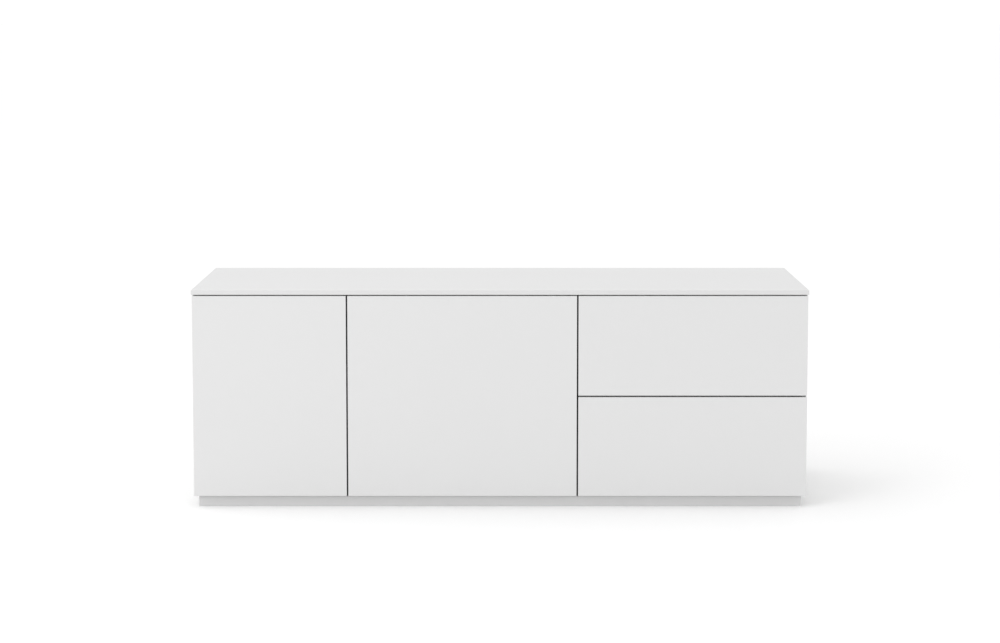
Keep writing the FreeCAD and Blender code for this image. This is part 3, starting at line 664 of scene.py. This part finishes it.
# %% [markdown]
# ### Door latches
#
# The push latch is a moulded housing with a sprung plunger, which kicks the front open when it is
# pressed. The housing is softened at its edges, has a collar round the plunger's mouth and a true bore
# behind it, and is held by two screws on small pads.

# %% Mould the door latches
BORE = 3.8
BORE_END = 14
PAD = Vector((0.6, 3.6, 3.6)) * MM
PAD_SCREW = [(0, 2.6), (0.3, 2.6), (0.6, 2.1), (0.6, ("cross", 0.45)), (0.2, ("cross", 0.35))]


def mouth(length):
    """Rings of a collar and the bore behind it, at the end of a housing."""
    collar = [(length, 5.3), (length + 1.2, 5.1), (length + 1.5, 4.8), (length + 1.5, BORE)]
    return collar + [(BORE_END, BORE)]


form, heads = bmesh.new(), bmesh.new()
for spot in solids("door_latch_housings"):
    half, length = spot.size.x / 2 / MM, spot.size.y / MM
    shell = [(0, ("square", half - 0.8)), (0.8, ("square", half)),
             (length - 0.8, ("square", half - 0.1)), (length, ("square", half - 0.9))]
    turned(form, shell + mouth(length), (spot.middle.x, spot.high.y, spot.middle.z), "-y", steps=48)
    for y in (spot.low.y + 16 * MM, spot.high.y - 8 * MM):
        centre = Vector((spot.low.x, y, spot.middle.z))
        block(form, centre - PAD, centre + PAD, 0.5)
        turned(heads, PAD_SCREW, centre - Vector((0.5 * MM, 0, 0)), "-x")
node = "door_latch_housings"
piece(node + "_moulded", form, "carcass", "grey_plastic", latch_plastic, node)

# %% [markdown]
# ### Drawer latches
#
# The drawers' latches are fatter and stand behind the runners. The mould makes them in three parts that
# run into each other: a square nose round the plunger, a foot against the partition, and an ear above and
# below for the screws.

# %% Mould the drawer latches
EAR = 9 * MM
EAR_THICKNESS = 3 * MM
EAR_SCREW = [(0, 2.9), (0.5, 2.9), (1.0, 2.3), (1.0, ("cross", 0.5)), (0.4, ("cross", 0.38))]

form = bmesh.new()
plungers = ("lower_drawer_plunger", "upper_drawer_plunger")
for spot, plunger in zip(sorted(solids("drawer_latch_housings"), key=lambda s: s.low.z), plungers):
    tip = box_of(*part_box(plunger)).middle
    length = spot.size.y / MM
    shell = [(0, ("square", 8.1)), (0.8, ("square", 8.9)),
             (length - 0.8, ("square", 8.2)), (length, ("square", 7.5))]
    turned(form, shell + mouth(length), (tip.x, spot.high.y, tip.z), "-y", steps=48)
    foot = (spot.low.x, spot.low.y + 4 * MM, spot.low.z)
    block(form, foot, (tip.x - 7.4 * MM, spot.high.y - 1 * MM, spot.high.z), 1.2)
    for z in (spot.low.z - EAR, spot.high.z):
        ear = Vector((spot.low.x, spot.low.y + 12 * MM, z))
        block(form, ear, (ear.x + EAR_THICKNESS, spot.high.y - 8 * MM, z + EAR), 0.9)
        face = ear.x + EAR_THICKNESS - 0.1 * MM
        turned(heads, EAR_SCREW, (face, spot.middle.y + 2 * MM, z + EAR / 2), "x")
node = "drawer_latch_housings"
piece(node + "_moulded", form, "carcass", "grey_plastic", latch_plastic, node)
piece("latch_screw_heads", heads, "carcass", "zinc_steel", zinc)

# %% [markdown]
# ### Plungers
#
# A plunger is a smooth rod with a groove behind a rounded cap, which is gentle to the front that it
# pushes. Each one rides on a body of its own, because it comes out as its front opens.

# %% Turn the plungers
for front in ("left_door", "middle_door", "upper_drawer", "lower_drawer"):
    node = front + "_plunger"
    spot = box_of(*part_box(node))
    end = spot.size.y / MM
    rings = [(0, 2.5), (0.5, 3.3), (end - 4.2, 3.3), (end - 4.0, 2.9), (end - 3.4, 2.9), (end - 3.2, 3.5),
             (end - 1.0, 3.5), (end - 0.3, 3.1), (end, 2.2)]
    form = bmesh.new()
    turned(form, rings, (spot.middle.x, spot.high.y, spot.middle.z), "-y")
    piece(node + "_moulded", form, front + "_latch", "grey_plastic", latch_plastic, node)

# %% [markdown]
# ### Strike plates and bumpers
#
# A small pressed plate takes the plunger's knocks, with a dimple that centres it. The bumpers are clear
# gel dots, domed by their own surface tension when they are cast, and they land softly on the body.

# %% Press the strike plates and cast the bumpers
for door in ("left", "middle"):
    node = f"{door}_strike_plate"
    spot = box_of(*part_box(node))
    half = spot.size.x / 2 / MM
    plate = [(0, ("square", half)), (0.7, ("square", half)), (1, ("square", half - 0.4))]
    dimple = [(1, 2.6), (0.6, 2.3)]
    form = bmesh.new()
    turned(form, plate + dimple, (spot.middle.x, spot.low.y, spot.middle.z), "y", steps=48)
    piece(node + "_pressed", form, f"{door}_door_leaf", "zinc_steel", zinc, node)

    node = f"{door}_door_bumpers"
    dome = [(0, 3.4), (0.3, 3.5), (0.7, 3.3), (1.1, 2.8), (1.4, 1.9), (1.6, 0.7)]
    form = bmesh.new()
    for spot in solids(node):
        turned(form, dome, (spot.middle.x, spot.low.y, spot.middle.z), "y")
    piece(node + "_cast", form, f"{door}_door_leaf", "bumper_gel", bumper_gel, node, crease=60)

# %% [markdown]
# ### Hinges
#
# A concealed hinge is pressed and folded steel, so it has no sharp edge anywhere. The measured forms are
# right, and only their edges are too hard. We could model each part again, but easing the edges of a copy
# keeps every size. Flat faces are joined first, so that only true edges are rounded.

# %% Ease the pressed parts of the hinges


def eased(node, word, body, made, width):
    """A copy of a measured piece with its hard edges rounded by a width in millimetres."""
    form = joined(node)
    bmesh.ops.dissolve_limit(form, angle_limit=math.radians(1), verts=form.verts, edges=form.edges)
    hard = [edge for edge in form.edges if edge.calc_face_angle(0) > math.radians(40)]
    bmesh.ops.bevel(form, geom=hard, offset=width * MM, segments=2, profile=0.5, affect="EDGES")
    bmesh.ops.dissolve_degenerate(form, edges=form.edges, dist=0.001 * MM)
    piece(f"{node}_{word}", form, body, "nickel_steel", made, node)


eased("hinge_arms", "folded", "carcass", nickel, 0.35)
eased("hinge_mounting_plates", "cast", "carcass", nickel, 0.5)
for door in ("left", "middle"):
    eased(f"{door}_hinge_cups", "drawn", f"{door}_door_leaf", nickel, 0.3)
    for link in ("outer", "inner"):
        eased(f"{door}_hinge_{link}_links", "pressed", f"{door}_{link}_links", nickel, 0.3)

# %% [markdown]
# ### Rivets and adjusting screws
#
# The riveter leaves a low head at each end of the arm's pin. On the arm's face sit the two large screws
# with which one sets a door straight: the front one moves it sideways, and the rear one clamps its depth.

# %% Rivet the pins and set the adjusting screws
PIN_HEAD = [(0, 2.2), (0.25, 2.2), (0.5, 1.8), (0.6, 1.0)]
ADJUSTER = [(0, 4.0), (0.5, 4.0), (0.9, 3.5), (0.9, ("cross", 0.7)), (0.1, ("cross", 0.5))]
PIN_FROM_WALL = 8 * MM
PIN_FROM_TIP = 4 * MM
ADJUSTERS_FROM_TIP = (26 * MM, 50 * MM)

rivets, adjusters = bmesh.new(), bmesh.new()
for arm in solids("hinge_arms"):
    pin_x, pin_y = arm.low.x + PIN_FROM_WALL, arm.low.y + PIN_FROM_TIP
    turned(rivets, PIN_HEAD, (pin_x, pin_y, arm.high.z), "z")
    turned(rivets, PIN_HEAD, (pin_x, pin_y, arm.low.z), "-z")
    for back in ADJUSTERS_FROM_TIP:
        spot = (arm.high.x - 0.02 * MM, arm.low.y + back, arm.middle.z)
        turned(adjusters, ADJUSTER, spot, "x", steps=48)
piece("hinge_arm_rivets", rivets, "carcass", "nickel_steel", nickel)
piece("hinge_adjusting_screws", adjusters, "carcass", "zinc_steel", zinc)

# %% [markdown]
# ### Rolled rails
#
# A runner is three rails, one inside another. Each is a steel strip, bent to a channel by rollers, so its
# bends are round both outside and inside. The strip could be a curve with a bevel, but its section is the
# same all along, so it is simpler to draw the section once and stretch it from end to end.

# %% Bend a strip to a channel


def strip_profile(depth, half_height, thick, bend):
    """The corners of a channel's section, its web at 0 and its lips at depth."""
    skins = []
    for inset in (0, thick):
        turn = max(bend - inset, 0.2)
        upper = [(depth, half_height - inset)]
        for step in range(5):
            angle = math.radians(90 + 22.5 * step)
            x = inset + turn + turn * math.cos(angle)
            upper.append((x, half_height - inset - turn + turn * math.sin(angle)))
        skins.append(upper + [(x, -z) for x, z in reversed(upper)])
    return skins[0] + skins[1][::-1]


def rolled(form, spot, opens, thick=1.2, bend=1.6):
    """Adds a channel that fills a box and opens towards x or -x."""
    sign, web = (1, spot.low.x) if opens == "x" else (-1, spot.high.x)
    section = strip_profile(spot.size.x / MM, spot.size.z / 2 / MM, thick, bend)
    ends = []
    for y in (spot.low.y, spot.high.y):
        ends.append([form.verts.new((web + sign * x * MM, y, spot.middle.z + z * MM)) for x, z in section])
    for step in range(len(section)):
        form.faces.new((ends[0][step - 1], ends[0][step], ends[1][step], ends[1][step - 1]))
    for end in ends:
        form.faces.new(end)


form = bmesh.new()
for spot in solids("cabinet_rails"):
    rolled(form, spot, "-x" if spot.high.x > right_wall - 1 * MM else "x")
piece("cabinet_rails_rolled", form, "carcass", "zinc_steel", rail_steel, "cabinet_rails")

# %% [markdown]
# ### Balls in their cages
#
# The rails don't touch: they roll on two rows of balls between each pair, which a thin cage keeps apart.
# Half of each middle rail holds the outer balls and half the inner ones, since only there do both
# neighbours reach when a drawer is out. So every cage can ride on its middle rail.

# %% Fill the middle rails with balls
BALL = 1.5 * MM
BALLS_IN_ROW = 11
FIRST_BALL = 10 * MM
PITCH = 16 * MM
BALLS_FROM_WEB = 4.4 * MM
CAGE_LENGTH = 180 * MM
CAGE_DEPTH = 7.4 * MM


def lane(balls, cages, rail, opens, rise, gap, start):
    """A cage at a gap from a rail's web, with a row of balls above and below."""
    sign, web = (1, rail.low.x) if opens == "x" else (-1, rail.high.x)
    near, far = sorted((web + sign * gap, web + sign * (gap + CAGE_DEPTH)))
    half = rise + 0.25 * MM
    end = start + CAGE_LENGTH
    cage = box_of((near, start, rail.middle.z - half), (far, end, rail.middle.z + half))
    rolled(cages, cage, opens, thick=0.5, bend=0.6)
    for step in range(BALLS_IN_ROW):
        for level in (rail.middle.z + rise, rail.middle.z - rise):
            made = bmesh.ops.create_icosphere(balls, subdivisions=2, radius=BALL)["verts"]
            place = (web + sign * BALLS_FROM_WEB, start + FIRST_BALL + PITCH * step, level)
            bmesh.ops.translate(balls, vec=place, verts=made)


def opens_to(spot, drawer):
    """Which way the rails of the wall on this side of a drawer open."""
    return "-x" if spot.middle.x > box_of(*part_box(f"{drawer}_drawer_front")).middle.x else "x"


for drawer in ("upper", "lower"):
    node = f"{drawer}_drawer_middle_rails"
    rails, balls, cages = bmesh.new(), bmesh.new(), bmesh.new()
    for rail in solids(node):
        opens, half = opens_to(rail, drawer), rail.size.z / 2
        rolled(rails, rail, opens)
        outer_rise, inner_rise = half + 1.65 * MM, half - 2.85 * MM
        lane(balls, cages, rail, opens, outer_rise, -0.65 * MM, rail.middle.y + 12 * MM)
        lane(balls, cages, rail, opens, inner_rise, 1.45 * MM, rail.low.y + 8 * MM)
    body = f"{drawer}_runner_middle"
    piece(f"{drawer}_middle_rails_rolled", rails, body, "zinc_steel", rail_steel, node)
    piece(f"{drawer}_runner_cages", cages, body, "nickel_steel", nickel)
    piece(f"{drawer}_runner_balls", balls, body, "nickel_steel", nickel, crease=80)

# %% [markdown]
# ### Drawer rails
#
# The innermost rail is screwed to the drawer's side, and opens towards the middle rail. In the measured
# model a rail and its screws touch at shared corners, so they are found as one. The rail is as deep as
# the middle one, and its screws stand at the same distances as those in the wall.

# %% Screw the drawer rails to the drawers
wall_screws = solids("wall_screws")
screw_rows = sorted({round(s.middle.y, 4) for s in wall_screws if s.size.x < LONGEST_RAIL_SCREW})
lip = solids("upper_drawer_middle_rails")[0].size.x

for drawer in ("upper", "lower"):
    node = f"{drawer}_drawer_rails"
    rails, screws = bmesh.new(), bmesh.new()
    for spot in solids(node):
        on_right = opens_to(spot, drawer) == "-x"
        opens, tip = ("x", spot.low.x) if on_right else ("-x", spot.high.x)
        start = spot.high.x - lip if on_right else spot.low.x
        rail = box_of((start, spot.low.y, spot.low.z), (start + lip, spot.high.y, spot.high.z))
        rolled(rails, rail, opens)
        for y in screw_rows:
            flat_screw(screws, (tip, y, spot.middle.z), opens)
    piece(f"{drawer}_drawer_rails_rolled", rails, f"{drawer}_drawer", "zinc_steel", rail_steel, node)
    piece(f"{drawer}_drawer_rail_screws", screws, f"{drawer}_drawer", "zinc_steel", zinc)

# %% [markdown]
# ### Edge bands
#
# Faced board shows its chips wherever it is cut, so a maker irons a thin white band on every edge that a
# hand or an eye can reach: the shelves' fronts and the drawers' rims. Painting the edge would be less
# work, but a band has its own thickness and its own soft corner, and that is what one sees.

# %% Band the shelves and the drawers
BAND = 0.5 * MM
OVERLAP = 0.1 * MM

form = bmesh.new()
for shelf in shelves:
    low = (shelf.low.x, shelf.low.y - BAND, shelf.low.z)
    block(form, low, (shelf.high.x, shelf.low.y + OVERLAP, shelf.high.z), 0.25)
piece("shelf_edge_bands", form, "carcass", "melamine", band_white)

for drawer in ("upper", "lower"):
    form = bmesh.new()
    for part in ("left_side", "right_side", "back"):
        rim = box_of(*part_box(f"{drawer}_drawer_{part}"))
        low = (rim.low.x, rim.low.y, rim.high.z - OVERLAP)
        block(form, low, (rim.high.x, rim.high.y, rim.high.z + BAND), 0.25)
    piece(f"{drawer}_drawer_rim_bands", form, f"{drawer}_drawer", "drawer_melamine", band_white)

# %% [markdown]
# ### Cable holes
#
# The round holes in the backs are sawn and left raw, so each shows a ring of brown fibre, the only warm
# colour in the board. The ring is a very thin tube inside the hole, whose place and width the record
# gives.

# %% Line the cable holes
form = bmesh.new()
for hole in frame["record"]["mounts"]:
    if not hole["name"].endswith("cable_hole"):
        continue
    back = box_of(*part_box(hole["name"].replace("cable_hole", "back_panel")))
    wide, near, far = hole["dims"]["r_mm"], 0.02, back.size.y / MM - 0.02
    wall = [(near, wide), (far, wide), (far, wide - 0.4), (near, wide - 0.4)]
    turned(form, wall, (hole["pos_m"][0], back.low.y, hole["pos_m"][2]), "y", steps=96, tube=True)
piece("cable_hole_linings", form, "carcass", "back_board", raw_fibre)
